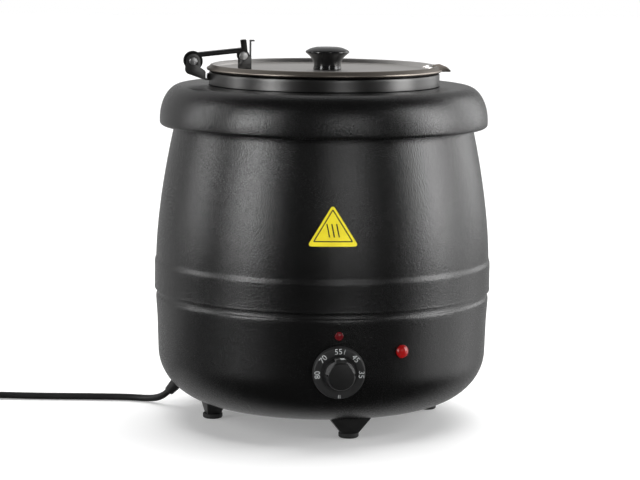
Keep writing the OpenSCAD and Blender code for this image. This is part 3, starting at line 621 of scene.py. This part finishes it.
def triangle(name, side, tall, corner, lift):
    startPiece()
    bpy.ops.mesh.primitive_plane_add(size=1, location=(0, 0, 0))
    piece = bpy.context.object
    bpy.ops.object.mode_set(mode="EDIT")
    bpy.ops.mesh.select_all(action="SELECT")
    bpy.ops.mesh.delete(type="ONLY_FACE")
    bpy.ops.object.mode_set(mode="OBJECT")
    places = [(-side / 2, lift), (side / 2, lift), (0.0002, lift + tall), (-0.0002, lift + tall)]
    order = sorted(piece.data.vertices, key=lambda v: math.atan2(v.co.y, v.co.x))
    for vertex, (x, y) in zip(order, places):
        vertex.co = (x, y, 0)
    bpy.ops.object.mode_set(mode="EDIT")
    bpy.ops.mesh.select_all(action="SELECT")
    bpy.ops.mesh.remove_doubles(threshold=0.001)
    bpy.ops.mesh.bevel(offset=corner, segments=6, affect="VERTICES")
    bpy.ops.mesh.select_all(action="SELECT")
    bpy.ops.mesh.edge_face_add()
    bpy.ops.object.mode_set(mode="OBJECT")
    piece.name = name
    return piece


def sliced(piece, width, height, step=0.002):
    # cuts a flat piece into small faces so that it can follow a curve
    takeHold(piece)
    bpy.ops.object.mode_set(mode="EDIT")
    for axis, extent in ((0, width), (1, height)):
        for i in range(int(-extent / step), int(extent / step) + 1):
            place = [0, 0, 0]
            place[axis] = i * step
            normal = [0, 0, 0]
            normal[axis] = 1
            bpy.ops.mesh.select_all(action="SELECT")
            bpy.ops.mesh.bisect(plane_co=place, plane_no=normal)
    bpy.ops.mesh.select_all(action="SELECT")
    bpy.ops.mesh.normals_make_consistent(inside=False)
    bpy.ops.object.mode_set(mode="OBJECT")
    if piece.data.polygons[0].normal.z < 0:
        piece.data.flip_normals()
    return piece


film = sliced(triangle("labelFilm", label["side"], label["tall"], label["corner"], 0), 0.025, 0.04)
wall(wrapped(film, label["proud"]), 0.00025)
finishPiece(film, "heatLabel", labelFilm, "kettle", ("heat_label",), 50)

border = triangle("border", 0.0385, 0.0312, 0.0016, 0.0042)
takeHold(border)
bpy.ops.object.mode_set(mode="EDIT")
bpy.ops.mesh.select_all(action="SELECT")
bpy.ops.mesh.inset(thickness=0.001, depth=0)
bpy.ops.mesh.delete(type="FACE")
bpy.ops.object.mode_set(mode="OBJECT")
wall(wrapped(sliced(border, 0.025, 0.04), label["proud"] + label["ink"]), 0.00006)
finishPiece(border, "labelBorder", blackPrint, "kettle")

# three plain leaning strokes
for number in (-1, 0, 1):
    startPiece()
    bpy.ops.mesh.primitive_plane_add(size=1, location=(0, 0, 0))
    stroke = bpy.context.object
    for vertex in stroke.data.vertices:
        up = vertex.co.y * label["strokeTall"] + label["strokeUp"]
        vertex.co = (vertex.co.x * label["strokeWide"], up, 0)
    sliced(stroke, 0.002, 0.03, 0.002)
    for vertex in stroke.data.vertices:
        vertex.co.x += number * label["strokeGap"] - (vertex.co.y - label["strokeUp"]) * label["strokeLean"]
    wall(wrapped(stroke, label["proud"] + label["ink"]), 0.00006)
    finishPiece(stroke, f"labelStroke{number + 2}", blackPrint, "kettle")
print("label wrapped")


# lamps and gland

dressed("index_lamp", "indexLamp", indexLens, "kettle", 0.0003)
dressed("pilot_lamp", "pilotLamp", pilotLens, "kettle", 0.0003)
dressed("cord_gland", "leadGland", glandSkin, "kettle", 0.0005, 3)

# feet

for number in (1, 2, 3, 4):
    dressed(f"foot_{number}", f"foot{number}", footSkin, "kettle", 0.0009, 3)
    dressed(f"foot_pad_{number}", f"footPad{number}", padRubber, "kettle", 0.0005, 2)
print("lamps, gland and feet done")

# plug

leadPlug = dressed("plug_body", "leadPlug", leadRubber, "kettle", 0.0008, 3)
plugPins = dressed("plug_pins", "plugPins", pinPlate, "kettle", 0.0002, 2)
leadTie = dressed("cord_tie", "leadTie", glandSkin, "kettle", 0.0002, 2)
mainsLead.data.materials.append(leadRubber)

# finishes for the parts that keep the frame's shape

kept = {"zincPlate": ("collar_posts", "collar_screws", "clamp_nut", "base_screws", "foot_screws", "foot_nuts",
                      "thermostat_screws", "earth_stud", "element_clamp", "knob_screw", "dial_shaft"),
        "panSteel": ("water_pan",), "elementSkin": ("heating_element",), "plateSteel": ("base_plate",),
        "phenolic": ("thermostat_body", "thermal_cutout", "lamp_holder"), "blockGlaze": ("terminal_block",),
        "copperTube": ("thermostat_capillary",), "sleeveBraid": ("inner_wiring",),
        "glandSkin": ("gland_nut",), "labelFilm": ("heat_label",)}
for materialName, names in kept.items():
    for name in names:
        nodes[name].data.materials.clear()
        nodes[name].data.materials.append(bpy.data.materials[materialName])
print("kept parts painted")


# studio

startPiece()
bpy.ops.mesh.primitive_plane_add(size=14, location=(0, 3, -0.0002))
floor = bpy.context.object
floor.name = "floor"
floorPaint = Paint("floorPaint", Base_Color=grey(0.86), Roughness=0.6, Emission_Color=(1, 1, 1, 1),
                   Emission_Strength=0.22)
floorMottle = floorPaint.noise(floorPaint.coords(), 3, 3)
floorPaint.feed(Base_Color=floorPaint.blend(floorMottle, grey(0.85), grey(0.88)))
floor.data.materials.append(floorPaint.material)
floor.visible_shadow = False
floor.visible_glossy = False    # the black coat mirrors a dark room, not the pale floor

world = bpy.data.worlds.new("studio")
bpy.context.scene.world = world
world.use_nodes = True
air = world.node_tree
sky = air.nodes["Background"]
sky.inputs["Color"].default_value = (1, 1, 1, 1)
lookAt = air.nodes.new("ShaderNodeTexCoord")
parts = air.nodes.new("ShaderNodeSeparateXYZ")
backness = air.nodes.new("ShaderNodeMapRange")
for socket, value in (("From Min", 0.15), ("From Max", 0.5), ("To Min", 0.006), ("To Max", 0.42)):
    backness.inputs[socket].default_value = value    # dim in front, pale behind
air.links.new(lookAt.outputs["Generated"], parts.inputs["Vector"])
air.links.new(parts.outputs["Y"], backness.inputs["Value"])
seen = air.nodes.new("ShaderNodeLightPath")
brighter = air.nodes.new("ShaderNodeMath")
brighter.operation = "MAXIMUM"    # white where it is looked at, dimmer where it lights the room
air.links.new(backness.outputs["Result"], brighter.inputs[0])
air.links.new(seen.outputs["Is Camera Ray"], brighter.inputs[1])
air.links.new(brighter.outputs["Value"], sky.inputs["Strength"])

# direction round the kettle from the camera, distance, lowest and highest edge, width, brightness
lights = {"keyBox": (-52, 2.2, 0.15, 1.7, 0.42, 9.5), "leftBox": (-93, 2.0, 0.15, 1.6, 0.3, 5.6),
          "strip": (18, 2.5, 0.15, 1.7, 0.1, 12), "rightBox": (82, 2.0, 0.1, 1.7, 0.9, 5.6),
          "rightFill": (122, 2.3, 0.1, 1.7, 1.6, 1.8), "lowRight": (98, 2.2, -0.9, 0.05, 2.4, 0.85),
          "lowLeft": (-60, 2.2, -0.8, 0.05, 1.6, 0.25)}
for name, (around, away, low, high, width, bright) in lights.items():
    heading = math.radians(around + view["heading"])
    place = Vector((away * math.sin(heading), -away * math.cos(heading), (low + high) / 2))
    bpy.ops.object.light_add(type="AREA", location=place)
    light = bpy.context.object
    light.name = name
    light.data.shape = "RECTANGLE"
    light.data.size = width
    light.data.size_y = high - low
    light.data.energy = bright * math.pi * width * (high - low)
    aim = Vector((0, 0, place.z)) - place
    light.rotation_euler = aim.to_track_quat("-Z", "Y").to_euler()
    light.visible_camera = False
bpy.ops.object.light_add(type="SUN", location=(0, 0, 3), rotation=(math.radians(-22), math.radians(8), 0))
ceiling = bpy.context.object
ceiling.name = "ceiling"
ceiling.data.angle = math.radians(70)
ceiling.data.energy = 3.4
ceiling.visible_glossy = False
bpy.context.scene.view_settings.view_transform = "Standard"
print("studio lit")
